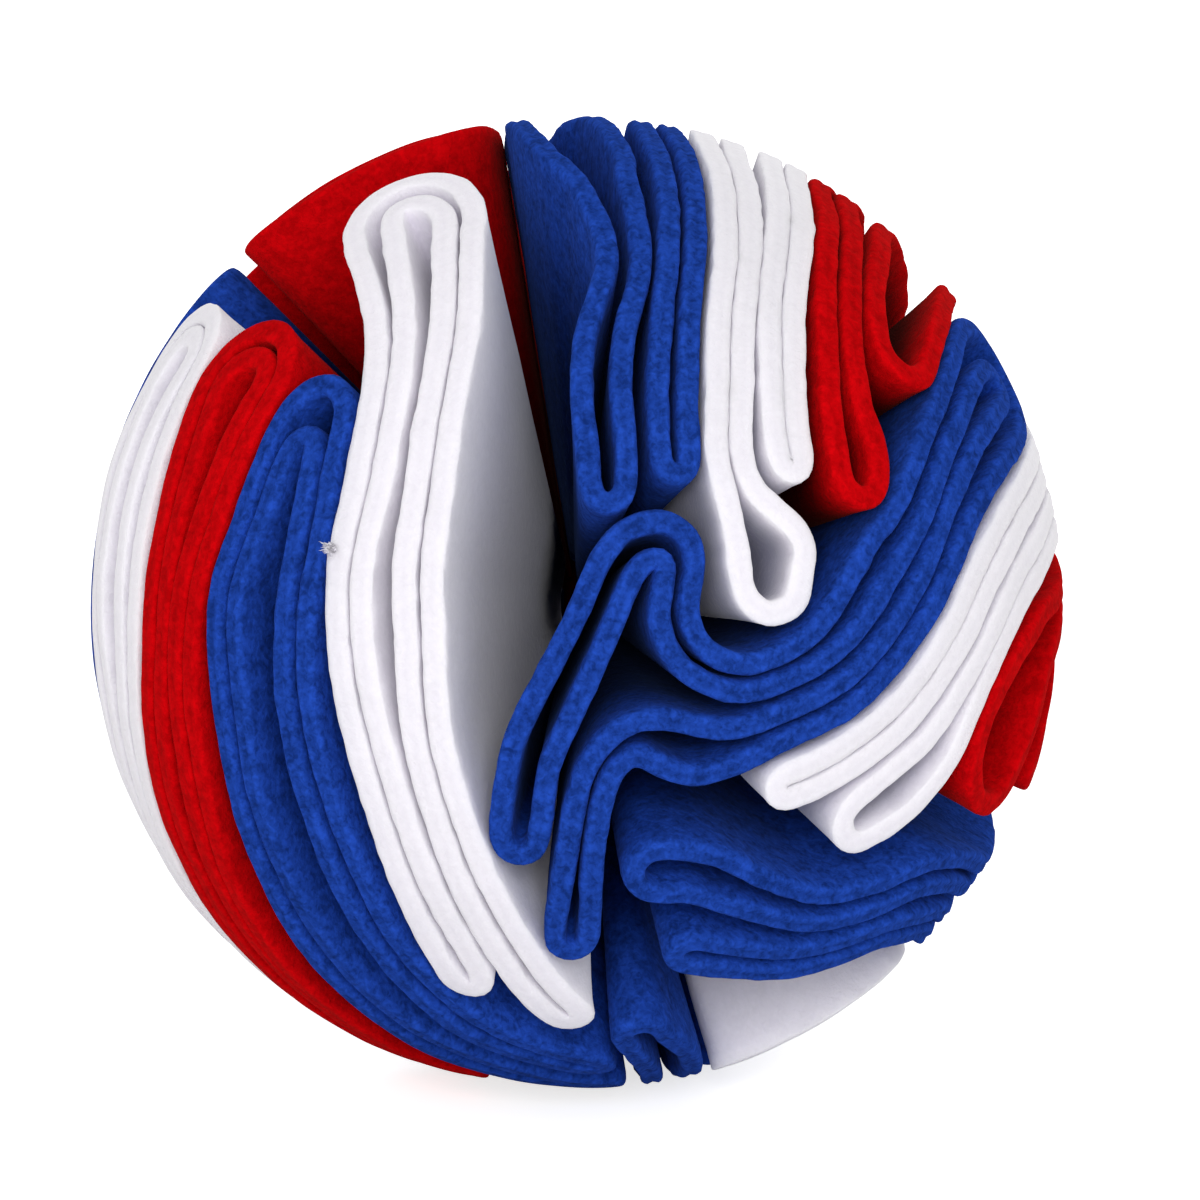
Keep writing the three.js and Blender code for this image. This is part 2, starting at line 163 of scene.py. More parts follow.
TOP_DISCS = (
    Disc(
        node="crown_red", colour="red", shade=0.75, slack=1,
        first=(
            Row(323.5, 90, 4.4), Row(331, 88, 4.4), Row(339, 87.5, 4.4), Row(345.6, 91, 4.4),
            Row(347.6, 100, 4.4), Row(347.6, 113, 4.4), Row(347.3, 127, 4.4),
            Row(347.5, 140, 4.4), Row(348, 149, 4.6),
        ),
        second=(
            Row(323.5, 97, 4.4), Row(330, 95, 4.4), Row(336, 95.5, 4.4), Row(339.5, 101, 4.4),
            Row(340, 112, 4.4), Row(338.5, 126, 4.4), Row(337, 138, 4.4), Row(335, 147, 4.6),
        ),
    ),
    Disc(
        node="top_blue", colour="blue", shade=0.6, slack=1,
        first=(
            Row(355.5, 122, 4.4), Row(355, 111, 5.5), Row(355.8, 100, 8), Row(357.6, 88, 12),
            Row(359, 78, 12.5), Row(1, 69, 11.5), Row(4, 59, 7.5), Row(7, 50, 5.6),
            Row(8, 44, 5.2), Row(7, 38, 5.6), Row(6, 32, 6), Row(7, 25, 6), Row(11, 19, 6),
            Row(16, 14, 5.6),
        ),
        second=(
            Row(10, 122, 4.4), Row(9, 110, 4.4), Row(9, 98, 4.4), Row(9.5, 87, 4.4),
            Row(11, 76, 4.6), Row(13.3, 65, 4.5), Row(15.6, 55, 4.3), Row(17.1, 47.5, 4.2),
            Row(18.4, 41, 4.2), Row(20.4, 35.5, 4.4), Row(24.3, 28.5, 4.6), Row(29.2, 24, 4.6),
            Row(35.7, 20.5, 4.6),
        ),
    ),
    Disc(
        node="top_white", colour="white", shade=6, slack=1,
        first=(
            Row(20.5, 122, 4.2), Row(18.5, 110, 4.2), Row(17.2, 99, 4.6), Row(16.9, 87, 4.8),
            Row(18.1, 76, 4.4), Row(20.2, 68, 4.1), Row(22.7, 59, 4), Row(24.9, 51.8, 4),
            Row(27, 45.2, 4), Row(29.6, 39.6, 4), Row(33.3, 34.6, 4), Row(38, 30.2, 4),
            Row(43.8, 26.6, 4), Row(49.9, 24.6, 4.2), Row(58, 23.4, 5), Row(66, 23.4, 8),
            Row(75, 24, 11.8), Row(84, 23.5, 10),
        ),
        second=(
            Row(30, 122, 4.2), Row(27.5, 110, 4.2), Row(25.8, 99, 4.4), Row(25.2, 87, 4.5),
            Row(26.3, 76, 4.2), Row(28.9, 64.7, 4), Row(31.2, 56.6, 4), Row(33.8, 49.6, 4),
            Row(37, 43.9, 4), Row(41.4, 39.3, 4), Row(46.6, 35.5, 4), Row(52, 33, 4.2),
            Row(57, 31.5, 4.2),
        ),
    ),
    Disc(
        node="top_red", colour="red", shade=4, slack=1,
        first=(
            Row(37.5, 114, 4.4), Row(35, 104, 4.4), Row(33.4, 95, 4.6), Row(32.3, 86, 4.8),
            Row(33, 79, 4.8), Row(34.5, 73, 4.6), Row(37.1, 63.4, 4.6), Row(40.3, 56.4, 4.5),
            Row(44, 50.7, 4.5), Row(48.6, 46.3, 4.8), Row(54.1, 42.8, 6), Row(59.3, 41.3, 7.5),
            Row(63.5, 39.9, 7.6), Row(66.3, 39, 7),
        ),
        second=(
            Row(50, 114, 6), Row(48, 106, 8.6), Row(46.3, 98, 11.5), Row(45.2, 90, 13.6),
            Row(45.2, 81, 14.4), Row(46.5, 73, 13.6), Row(48.2, 66, 12.8), Row(49.8, 62, 12),
            Row(51.5, 59, 11), Row(52.6, 57.6, 10),
        ),
    ),
)
RIGHT_DISCS = (
    Disc(
        node="right_blue", colour="blue", shade=1.25, slack=8,
        first=(
            Row(57.6, 75, 6.5), Row(59, 69, 5.6), Row(61.2, 63.3, 5.1), Row(63.3, 59, 5),
            Row(65.8, 54.3, 5), Row(69, 50.3, 5), Row(75, 44.8, 5.2), Row(82, 39, 6),
            Row(91, 34.5, 5.8), Row(100, 30.5, 4.8), Row(108, 26, 4.3), Row(114, 22.5, 4.3),
            Row(117, 19, 4.3), Row(116, 15.5, 4.4), Row(110, 13, 4.6), Row(98, 11.5, 4.6),
            Row(82, 12, 4.4), Row(65, 13.5, 4.8), Row(53, 12.5, 5.4), Row(46, 9.5, 5.6),
            Row(50, 6, 5.6), Row(90, 3, 5.6), Row(166, 4.5, 5.8), Row(187, 9, 6),
            Row(194, 14, 6.4), Row(196.5, 19, 6.2), Row(195, 25, 6.2), Row(193.5, 30, 6),
        ),
        second=(
            Row(66.8, 79, 6), Row(68.8, 70, 6.2), Row(71.4, 62, 6), Row(77.4, 53.5, 5.2),
            Row(86.6, 47, 4.6), Row(95.5, 42, 4.4), Row(105, 37.5, 4.2), Row(113, 33.5, 4.2),
            Row(121, 29.5, 4.4), Row(131, 26.5, 5.4), Row(141, 23, 8), Row(148, 19.5, 7.2),
            Row(155, 17.5, 5), Row(165, 18, 4.2), Row(173, 20.5, 4), Row(177, 25, 4),
            Row(179, 30, 4), Row(180, 35, 4.4), Row(180.5, 40, 5.2), Row(181, 44, 5.2),
        ),
    ),
    Disc(
        node="right_white", colour="white", shade=6, slack=1,
        first=(
            Row(63, 104, 4.2), Row(69, 98, 4.2), Row(72.5, 90, 4.2), Row(74, 80, 4.2),
            Row(78.5, 67, 4.2), Row(85.5, 57, 4.2), Row(93, 52, 4.2), Row(101, 48, 4.2),
            Row(110, 44, 4.2), Row(118, 40, 4.2), Row(125, 37, 4.2), Row(131.5, 34.5, 4.4),
        ),
        second=(
            Row(70, 109, 4.2), Row(76, 102, 4.2), Row(79.5, 93, 4.2), Row(80.5, 82, 4.2),
            Row(84.5, 71.5, 4.2), Row(90, 63.5, 4.2), Row(97, 58.5, 4.4), Row(105, 55, 5.2),
            Row(113, 52.8, 7.5), Row(120, 50, 9.5), Row(127, 47, 8.5),
        ),
    ),
    Disc(
        node="right_red", colour="red", shade=2, slack=1,
        first=(
            Row(53, 128, 4.4), Row(63, 125, 4.4), Row(74, 118, 4.4), Row(82, 108.5, 4.4),
            Row(87, 98.5, 4.4), Row(89.5, 89, 5), Row(92.5, 81.5, 8), Row(96, 75.5, 13),
            Row(101, 72, 18), Row(105, 69.8, 20.5), Row(108, 68.5, 20.5),
        ),
        second=(
            Row(53, 136, 4.4), Row(65, 133, 4.4), Row(78, 126, 4.4), Row(88, 116, 4.4),
            Row(94, 106, 4.4), Row(99, 97, 4.4), Row(104, 91, 4.4), Row(110, 87, 4.6),
        ),
    ),
)
FOOT_DISCS = (
    Disc(
        node="low_blue", colour="blue", shade=0.75, slack=1,
        first=(
            Row(100, 126.5, 4.4), Row(109, 120, 4.4), Row(117, 111.5, 4.4), Row(121.5, 100, 4.4),
            Row(124.5, 88, 4.4), Row(125, 76, 4.6), Row(128, 66, 5), Row(134, 60, 5.4),
            Row(142, 53, 5.6), Row(148, 45, 6), Row(155, 38, 7.5), Row(163, 35, 8.5),
        ),
        second=(
            Row(107, 132.5, 4.4), Row(116.5, 126, 4.4), Row(124, 116, 4.4), Row(129, 104, 4.4),
            Row(132, 91, 4.4), Row(132, 80, 4.4), Row(136, 70, 4.4), Row(142, 64, 4.4),
            Row(149, 59, 4.6), Row(155, 54, 5), Row(162, 49, 5.6),
        ),
    ),
    Disc(
        node="low_white", colour="white", slack=1,
        first=(
            Row(50, 144.5, 4.2), Row(68, 147.5, 4.2), Row(94, 146, 4.2), Row(114, 138, 4.2),
            Row(127, 127, 4.2), Row(135, 114, 4.2), Row(139, 103, 4.2), Row(141, 95, 4.2),
            Row(148, 88, 4.2), Row(155, 86.5, 4.4), Row(161, 87, 4.6),
        ),
        second=(
            Row(40, 149.5, 4.2), Row(63, 154, 4.2), Row(99, 152.5, 4.2), Row(121, 143, 4.2),
            Row(134, 131, 4.2), Row(141.5, 117, 4.2), Row(146, 105, 4.2), Row(149, 97, 4.2),
            Row(154, 94, 4.6),
        ),
    ),
    Disc(
        node="foot_blue", colour="blue", shade=0.8, slack=1,
        first=(
            Row(7, 148, 4.2), Row(22, 163, 4.2), Row(95, 170, 4.2), Row(140, 159, 4.2),
            Row(154, 146, 4.2), Row(163, 133, 4.2), Row(168.5, 119, 4.4), Row(170, 106, 4.4),
            Row(169.2, 94, 4.8), Row(168.6, 84, 6.4), Row(169, 73, 7), Row(171.5, 63.5, 6),
        ),
        second=(
            Row(18, 146, 4.2), Row(37, 159, 4.2), Row(87, 163, 4.2), Row(126, 155, 4.2),
            Row(144, 142.5, 4.2), Row(155, 130, 4.2), Row(161.5, 117, 4.2), Row(163, 106, 4.2),
            Row(162, 97, 4.6),
        ),
    ),
)

# How finely things are made
MM = 0.001
FINE_STEPS = 420  # along a tongue's middle line
HANDED_STEP = 40  # the one of them at which the tongues' sides are told apart
BEND_STEPS = 40
CORNER_SOFTNESS = 1.6
FACE_STEPS = np.array([0, 0.2, 0.4, 0.57, 0.71, 0.82, 0.9, 0.96])
RIM_STEPS = 11

# The cut edge and the unevenness of the cloth
RIM_FULLNESS = 0.6
GROOVE_WIDTH = 0.0005
TIP_GAP = 0.0003
LUMP_BAND = 0.012  # the pile's lumps fade out over this depth
LUMP_SOFTNESS = 0.9
RISE_WAVES = ((0.028, 0.7), (0.009, 0.3))  # length and share
SWAY_LENGTHS = (0.047, 0.033, 0.021)
SWAY_AXIS_PHASE = 1.7
SWAY_WAVE_PHASE = 2.3
CAP_ACROSS = (0.31, 0.17, 0.93)

# Lint: needles of three sides that fan out and lean away from the cloth
LINT_FIBRES = 90
LINT_SPREAD = 0.0004
LINT_LENGTH = (0.0005, 0.0015)
LINT_THICKNESS = 0.00024
LINT_LEAN = (-1.4, 0, 0.2)
LINT_FAN = 0.9
NEEDLE_FACES = np.array([[0, 2, 1], [0, 1, 3], [1, 2, 3], [2, 0, 3]])

SEEDS = {
    disc.node: 10 * k + 3
    for k, disc in enumerate(LEFT_FAN + TOP_DISCS + RIGHT_DISCS + FOOT_DISCS + BACK_DISCS)
}

# What the colours of fleece differ in. edge_round: depth of the cut edge's rounding. knit_groove: depth
# of the knit between its two piles. gap: clear space between pressed layers. mottle: share by which
# tufts are darker or lighter. sheen and sheen_tint: how much light the fuzz catches, and its colour.
# The deep tint is painted shade: the share of the colour left deep in a fold. fade: how deep the light
# reaches before that painted shade closes in. knit: share of the light that the knit gives back. glow:
# share of the light that spreads inside the cloth.
FleeceKind = namedtuple(
    "FleeceKind", "edge_round knit_groove gap mottle sheen sheen_tint deep_tint fade knit glow")
KINDS = {
    "blue": FleeceKind(
        edge_round=0.0021, knit_groove=0.00035, gap=0.0003, mottle=0.42, sheen=0.05,
        sheen_tint=(0.25, 0.42, 1.0, 1), deep_tint=(0.05, 0.05, 0.08, 1), fade=0.0145, knit=0.8, glow=0),
    "white": FleeceKind(
        edge_round=0.0005, knit_groove=0.0001, gap=0.00005, mottle=0.03, sheen=0.3,
        sheen_tint=(1, 1, 1, 1), deep_tint=(0.3, 0.31, 0.4, 1), fade=0.032, knit=0.97, glow=0.8),
    "red": FleeceKind(
        edge_round=0.0011, knit_groove=0.0002, gap=0.0001, mottle=0.23, sheen=0.04,
        sheen_tint=(1.0, 0.25, 0.2, 1), deep_tint=(0.03, 0.02, 0.03, 1), fade=0.02, knit=0.88, glow=0),
}

# The material that all colours share
CLOTH_ROUGHNESS = 0.95
FUZZ_ROUGHNESS = 0.45
GLOW_REACH = 0.004
BUMP_STRENGTH = 0.8
BUMP_DISTANCE = 0.0005
TUFT_SHARE = 0.45
CLUMP_SHARE = 0.55
NOISE_RANGE = (0.36, 0.64)
NOISE_DISTORTION = 0.6

# Stage
FLOOR_RADIUS = 2.5
FLOOR_SIDES = 96
FLOOR_GLOW = 0.7
FRONT_LAMP = ((0, -1.5, 0.6), 0.7)  # place and size
BACK_LAMP = ((0.3, 1.5, 0.5), 0.9)
SENSOR_WIDTH_MM = 36
BALL_LEFT_OF_MIDDLE = 0.02
BALL_BELOW_MIDDLE = 0.0017


# Sizes and looks


class BallSizes(bpy.types.PropertyGroup):
    """Sizes that every disc shares"""

    radius: bpy.props.FloatProperty(
        name="Ball radius", description="From the ball's middle to the cloth's rims",
        default=0.075, min=0.03, unit="LENGTH")
    middle_height: bpy.props.FloatProperty(
        name="Middle height", description="Of the ball's middle above what it rests on",
        default=0.0735, unit="LENGTH")
    face_tilt: bpy.props.FloatProperty(
        name="Face tilt", description="How far up the face of the ball looks",
        default=radians(15), subtype="ANGLE")
    layer_pitch: bpy.props.FloatProperty(
        name="Layer pitch", description="From one pressed layer's middle to the next one's, at the rim",
        default=0.0039, unit="LENGTH")
    gather_radius: bpy.props.FloatProperty(
        name="Gather radius", description="Where the discs' gathered tips begin",
        default=0.009, unit="LENGTH")
    tip_depth: bpy.props.FloatProperty(
        name="Tip depth", description="Of the closed tip of each disc", default=0.0008, unit="LENGTH")
    twin_shift: bpy.props.FloatProperty(
        name="Twin shift", description="From the middle of two like tongues to each of them",
        default=0.00415, unit="LENGTH")
    rim_rise: bpy.props.FloatProperty(
        name="Rim unevenness", description="How much the rims rise and fall",
        default=0.00035, unit="LENGTH")
    sway: bpy.props.FloatProperty(
        name="Sway", description="How much the layers wander together", default=0.00018, unit="LENGTH")
    pile_lumps: bpy.props.FloatProperty(
        name="Pile lumps", description="Height of the pile's soft lumps", default=0.00007, unit="LENGTH")
    spacing: bpy.props.FloatProperty(
        name="Mesh spacing", description="Between points along a rim", default=0.001, unit="LENGTH")


class FleeceLook(bpy.types.PropertyGroup):
    """Colours and pile of the fleece"""

    blue: bpy.props.FloatVectorProperty(
        name="Blue fleece", description="Colour of the blue cloth", size=3, subtype="COLOR",
        default=(0.0115, 0.049, 0.32), min=0, max=1)
    white: bpy.props.FloatVectorProperty(
        name="White fleece", description="Colour of the white cloth", size=3, subtype="COLOR",
        default=(0.83, 0.80, 0.87), min=0, max=1)
    red: bpy.props.FloatVectorProperty(
        name="Red fleece", description="Colour of the red cloth", size=3, subtype="COLOR",
        default=(0.5, 0.0012, 0.003), min=0, max=1)
    pile_size: bpy.props.FloatProperty(
        name="Pile size", description="Across one tuft of the brushed pile", default=0.0008, unit="LENGTH")
    clump_size: bpy.props.FloatProperty(
        name="Clump size", description="Across a matted clump of pile", default=0.0022, unit="LENGTH")


class StageLook(bpy.types.PropertyGroup):
    """Floor, light and camera"""

    floor: bpy.props.FloatVectorProperty(
        name="Floor", description="Colour of the floor", size=3, subtype="COLOR",
        default=(0.9, 0.9, 0.9), min=0, max=1)
    view_width: bpy.props.FloatProperty(
        name="View width", description="Width of the picture at the ball", default=0.18484, unit="LENGTH")
    camera_distance: bpy.props.FloatProperty(
        name="Camera distance", description="From the ball's middle", default=3.0, unit="LENGTH")
    key_share: bpy.props.FloatProperty(
        name="Key light", description="Share of full light that the front lamp gives", default=0.48)
    back_share: bpy.props.FloatProperty(
        name="Back light", description="Share of full light that the back lamp gives", default=0.25)
    sky_share: bpy.props.FloatProperty(
        name="Sky light", description="Share of full light that comes from all round", default=0.7)


# Lines on the ball. Directions are unit vectors from the ball's middle, one to a row of an array.


def unit(vectors):
    """Each vector over its length."""
    return vectors / np.linalg.norm(vectors, axis=-1, keepdims=True)


def dots(a, b):
    """Row by row dot products, kept as a column."""
    return np.sum(a * b, axis=-1, keepdims=True)


def tangent_at(place, along):
    """The part of along that is square to place, made a unit vector."""
    return unit(along - place * dots(place, along))


def moved(place, towards, distance, sizes):
    """place turned by distance / ball radius towards the unit tangent: p cos a + t sin a."""
    angle = np.asarray(distance) / sizes.radius
    return place * np.cos(angle) + towards * np.sin(angle)


def row_directions(rows, sizes):
    """(sin r sin c, -cos r, sin r cos c) for clock c and round r, turned up by the face tilt."""
    clock, away = np.radians([[row.clock for row in rows], [row.round for row in rows]])
    x, y, z = np.sin(away) * np.sin(clock), -np.cos(away), np.sin(away) * np.cos(clock)
    up, over = np.sin(sizes.face_tilt), np.cos(sizes.face_tilt)
    return np.stack([x, y * over + z * up, z * over - y * up], axis=1)


def curve_through(points, steps):
    """Catmull-Rom curve: between points b and c the cubic whose slopes there are (c - a) / 2 and
    (d - b) / 2, with one more point straight on at each end. Gives places, slopes and parameters."""
    first, last = 2 * points[0] - points[1], 2 * points[-1] - points[-2]
    ends = np.vstack([first, points, last])
    place = np.linspace(0, len(points) - 1, steps)
    k = np.minimum(place.astype(int), len(points) - 2)
    t = (place - k)[:, None]
    a, b, c, d = ends[k], ends[k + 1], ends[k + 2], ends[k + 3]
    start, end = (c - a) / 2, (d - b) / 2
    bow, twist = 3 * (c - b) - 2 * start - end, 2 * (b - c) + start + end
    return b + t * (start + t * (bow + t * twist)), start + t * (2 * bow + 3 * t * twist), place


def tongue_lanes(rows, shift, sizes):
    """A tongue's middle line with what is needed to step aside from it: its places, the way along,
    the way to its side and how far it is open, eased from row to row by 3 t² - 2 t³."""
    curve, slope, place = curve_through(row_directions(rows, sizes), FINE_STEPS)
    middle = unit(curve)
    along = tangent_at(middle, slope)
    beside = np.cross(along, middle)
    at = moved(middle, beside, shift, sizes)
    k = np.minimum(place.astype(int), len(rows) - 2)
    t = place - k
    opened = np.array([row.open for row in rows]) * MM
    spread = opened[k] + (opened[k + 1] - opened[k]) * t * t * (3 - 2 * t)
    return at, along, tangent_at(at, beside), spread[:, None]


def bend(start, end, along, slack, sizes):
    """Half an ellipse from start to end that stands out by half their distance plus slack."""
    middle = unit(start + end)
    across = tangent_at(middle, end - start)
    out = tangent_at(middle, along)
    half = np.arccos(np.clip(np.dot(start, end), -1, 1)) / 2 * sizes.radius
    angle = np.linspace(0, pi, BEND_STEPS + 1)[1:-1, None]
    aside = moved(middle, across, -half * np.cos(angle), sizes)
    return moved(aside, tangent_at(aside, out), (half + slack) * np.sin(angle), sizes)


def softened(values, width):
    """A closed run of values blurred by a Gaussian of that many steps, through its Fourier terms."""
    turns = np.fft.rfftfreq(len(values))
    fade = np.exp(-2 * (pi * turns * width) ** 2)
    return np.fft.irfft(np.fft.rfft(values, axis=0) * fade[:, None], n=len(values), axis=0)


def evened(line, spacing):
    """The closed line at even steps, and its corners softened by a Gaussian over two steps."""
    closed = np.vstack([line, line[:1]])
    run = np.concatenate([[0], np.cumsum(np.linalg.norm(np.diff(closed, axis=0), axis=1))])
    steps = np.linspace(0, run[-1], int(round(run[-1] / spacing)) + 1)[:-1]
    even = np.stack([np.interp(steps, run, column) for column in closed.T], axis=1)
    return unit(softened(even, CORNER_SOFTNESS))


def rim_line(disc, sizes):
    """The middle line of a disc's cut edge, closed, at even steps."""
    if disc.twins:
        shifts = (-sizes.twin_shift, sizes.twin_shift)
        tongues = [tongue_lanes(disc.twins, shift, sizes) for shift in shifts]
    else:
        tongues = [tongue_lanes(rows, 0, sizes) for rows in (disc.first, disc.second)]
    (at_a, along_a, side_a, open_a), (at_b, along_b, side_b, open_b) = tongues
    handed = np.sign(np.dot(side_a[HANDED_STEP], at_b[HANDED_STEP] - at_a[HANDED_STEP]))
    outer_a = moved(at_a, side_a, -handed * open_a / 2, sizes)
    inner_a = moved(at_a, side_a, handed * open_a / 2, sizes)
    inner_b = moved(at_b, side_b, -handed * open_b / 2, sizes)
    outer_b = moved(at_b, side_b, handed * open_b / 2, sizes)
    back = -(along_a[0] + along_b[0])
    line = np.vstack([
        outer_a,
        bend(outer_a[-1], inner_a[-1], along_a[-1], 0, sizes),
        inner_a[::-1],
        bend(inner_a[0], inner_b[0], back, 0, sizes),
        inner_b,
        bend(inner_b[-1], outer_b[-1], along_b[-1], 0, sizes),
        outer_b[::-1],
        bend(outer_b[0], outer_a[0], back, disc.slack * MM, sizes),
    ])
    return evened(line if handed > 0 else line[::-1], sizes.spacing / sizes.radius)


# Cloth


def cloth_profile(sizes, kind):
    """Across the cloth from its tip on one face to its tip on the other: how far aside it lies from
    the middle, how far out from the ball's middle, and how much it is the knit. The faces are straight,
    and the cut edge is a superellipse with a groove between its piles, where the knit shows."""
    half = (sizes.layer_pitch - kind.gap) / 2
    reach = sizes.radius - kind.edge_round
    out = sizes.gather_radius + (reach - sizes.gather_radius) * FACE_STEPS
    face = np.minimum(sizes.layer_pitch * out / sizes.radius - TIP_GAP, 2 * half) / 2
    turn = np.linspace(-pi / 2, pi / 2, RIM_STEPS)
    aside = half * np.sign(turn) * np.abs(np.sin(turn)) ** RIM_FULLNESS
    lift = kind.edge_round * (1 - np.cos(turn) ** RIM_FULLNESS)
    groove = np.exp(-(aside / GROOVE_WIDTH) ** 2)
    edge = sizes.radius - lift - kind.knit_groove * groove
    away = np.concatenate([-face, aside, face[::-1]])
    radius = np.concatenate([out, edge, out[::-1]])
    radius[0] -= sizes.tip_depth
    knit = np.zeros(len(away))
    knit[len(out):-len(out)] = groove
    return away, radius, knit


def unevenness(count, seed, spacing):
    """A closed run of soft random rise and fall, in long and short waves, about -1 to 1. Each is random
    numbers blurred over a quarter of its wave's length."""
    rng = np.random.default_rng(seed)
    waves = np.zeros(count)
    for length, share in RISE_WAVES:
        rough = softened(rng.normal(size=(count, 1)), length / spacing / 4)[:, 0]
        waves += share * rough / np.abs(rough).max()
    return waves


def sway(points, sizes):
    """How the layers wander: for each axis the mean of sines of the place, each along a way of its
    own. They are the same for all discs, so that neighbours keep their distance."""
    shift = np.zeros_like(points)
    for axis in range(3):
        for k, length in enumerate(SWAY_LENGTHS):
            aim = unit(np.roll(np.array([1.0, 0.6 - 0.5 * k, 0.4 * k - 0.3]), axis + k))
            phase = SWAY_AXIS_PHASE * axis + SWAY_WAVE_PHASE * k
            shift[..., axis] += np.sin(points @ aim * 2 * pi / length + phase)
    return points + sizes.sway * shift / len(SWAY_LENGTHS)


def lumpy(shape, seed):
    """Soft random lumps over a grid that is closed in its first direction."""
    rng = np.random.default_rng(seed)
    rough = softened(rng.normal(size=shape), LUMP_SOFTNESS)
    rough[:, 1:-1] = (rough[:, :-2] + 2 * rough[:, 1:-1] + rough[:, 2:]) / 4
    return rough / rough.std()


def cloth_points(line, sizes, kind, seed):
    """Points of the cloth, by step along the rim and step across the profile: the direction turned
    aside by away / radius, times the radius, then raised, lumped, swayed and pressed flat below."""
    away, radius, knit = cloth_profile(sizes, kind)
    depth = sizes.radius - radius
    near_rim = np.clip(1 - depth / LUMP_BAND, 0, 1)
    ahead = tangent_at(line, np.roll(line, -1, axis=0) - np.roll(line, 1, axis=0))
    side = np.cross(ahead, line)
    angle = (away / radius)[None, :, None]
    out = line[:, None] * np.cos(angle) + side[:, None] * np.sin(angle)
    rise = sizes.rim_rise * unevenness(len(line), seed, sizes.spacing)[:, None]
    ease = (radius / sizes.radius) ** 4
    points = out * (radius + rise * ease)[..., None]
    toward = side[:, None] * np.sign(away)[None, :, None]
    lumps = lumpy(points.shape[:2], seed + 1) * sizes.pile_lumps * near_rim
    points = sway(points + toward * lumps[..., None], sizes)
    points[..., 2] = np.maximum(points[..., 2] + sizes.middle_height, 0)
    return points, depth, knit


def lint_tufts(disc, sizes, seed):
    """Corners of loose fibres that fan out from where lint hangs, four to a fibre: a closed needle with
    its foot just under the cloth's surface."""
    if not disc.lint:
        return np.empty((0, 3))
    rng = np.random.default_rng(seed)
    out = np.repeat(row_directions(disc.lint, sizes), LINT_FIBRES, axis=0)
    lean = unit(out + rng.normal(0, LINT_FAN, out.shape) + np.array(LINT_LEAN))
    foot = out * (sizes.radius - LINT_THICKNESS) + rng.normal(0, LINT_SPREAD, out.shape)
    tip = foot + lean * rng.uniform(*LINT_LENGTH, (len(out), 1))
    along = tangent_at(lean, np.roll(lean, 1, axis=1))
    over = np.cross(lean, along)
    feet = [
        foot + (along * np.cos(w) + over * np.sin(w)) * LINT_THICKNESS
        for w in (0, 2 * pi / 3, 4 * pi / 3)
    ]
    return np.stack(feet + [tip], axis=1).reshape(-1, 3) + np.array([0, 0, sizes.middle_height])


def cap(line, facing_out):
    """Triangles that close a tip: the loop is laid flat as seen from the ball's middle, and cut."""
    middle = unit(line.mean(axis=0))
    across = tangent_at(middle, np.array(CAP_ACROSS))
    up = np.cross(middle, across)
    depth = line @ middle
    flat = np.stack([line @ across / depth, line @ up / depth, np.zeros(len(line))], axis=1)
    triangles = np.array(tessellate_polygon([flat.tolist()]))
    a, b, c = (flat[triangles[:, k], :2] for k in range(3))
    turns = (b[:, 0] - a[:, 0]) * (c[:, 1] - a[:, 1]) - (b[:, 1] - a[:, 1]) * (c[:, 0] - a[:, 0])
    wrong = (turns > 0) != facing_out
    triangles[wrong] = triangles[wrong, ::-1]
    return triangles


def cloth_mesh(name, line, grid, marks, lint):
    """A closed mesh of the grid of points, with both tips capped, and its lint. The grid's points carry
    their marks, and all but the lint is smooth."""
    count, across = grid.shape[:2]
    s, v = np.meshgrid(np.arange(count), np.arange(across - 1), indexing="ij")
    here, ahead = s * across + v, (s + 1) % count * across + v
    quads = np.stack([here, here + 1, ahead + 1, ahead], axis=-1).reshape(-1, 4)
    needles = count * across + np.arange(0, len(lint), 4)[:, None, None] + NEEDLE_FACES
    triangles = np.concatenate([
        cap(line, False) * across,
        cap(line, True) * across + across - 1,
        needles.reshape(-1, 3),
    ])
    points = np.concatenate([grid.reshape(-1, 3), lint]).astype(np.float32)
    corners = np.concatenate([quads.ravel(), triangles.ravel()]).astype(np.int32)
    sides = np.concatenate([np.full(len(quads), 4), np.full(len(triangles), 3)]).astype(np.int32)
    smooth = np.arange(len(sides)) < len(sides) - needles.size // 3
    mesh = bpy.data.meshes.new(name)
    mesh.vertices.add(len(points))
    mesh.vertices.foreach_set("co", points.ravel())
    mesh.loops.add(len(corners))
    mesh.loops.foreach_set("vertex_index", corners)
    mesh.polygons.add(len(sides))
    mesh.polygons.foreach_set("loop_start", np.cumsum(sides, dtype=np.int32) - sides)
    mesh.polygons.foreach_set("loop_total", sides)
    mesh.polygons.foreach_set("use_smooth", smooth)
    mesh.update(calc_edges=True)
    for mark, values in marks.items():
        values = np.concatenate([np.tile(values, count), np.zeros(len(lint))]).astype(np.float32)
        mesh.attributes.new(mark, "FLOAT", "POINT").data.foreach_set("value", values)
    return mesh


def fold_disc(disc, scene):
    """Makes one folded disc and puts it in the place of its solid."""
    sizes = scene.snuffle_sizes
    line = rim_line(disc, sizes)
    seed = SEEDS[disc.node]
    grid, depth, knit = cloth_points(line, sizes, KINDS[disc.colour], seed)
    # The depth mark, sped up by the disc's shade, sets how dark the shade painted into its folds becomes.
    marks = {"depth": depth * disc.shade, "knit": knit}
    lint = lint_tufts(disc, sizes, seed + 2)
    mesh = cloth_mesh(disc.node + "_cloth", line, grid, marks, lint)
    mesh.materials.append(fleece(disc.colour, scene.snuffle_fleece))
    cloth = bpy.data.objects.new(disc.node + "_cloth", mesh)
    scene.collection.objects.link(cloth)
    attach(cloth, "root")
    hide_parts(disc.node)


# Materials


def add_node(tree, kind, at, **settings):
    """A node of that kind at a place in the tree, with its settings."""
    node = tree.nodes.new(kind)
    node.location = at
    for name, value in settings.items():
        setattr(node, name, value)
    return node


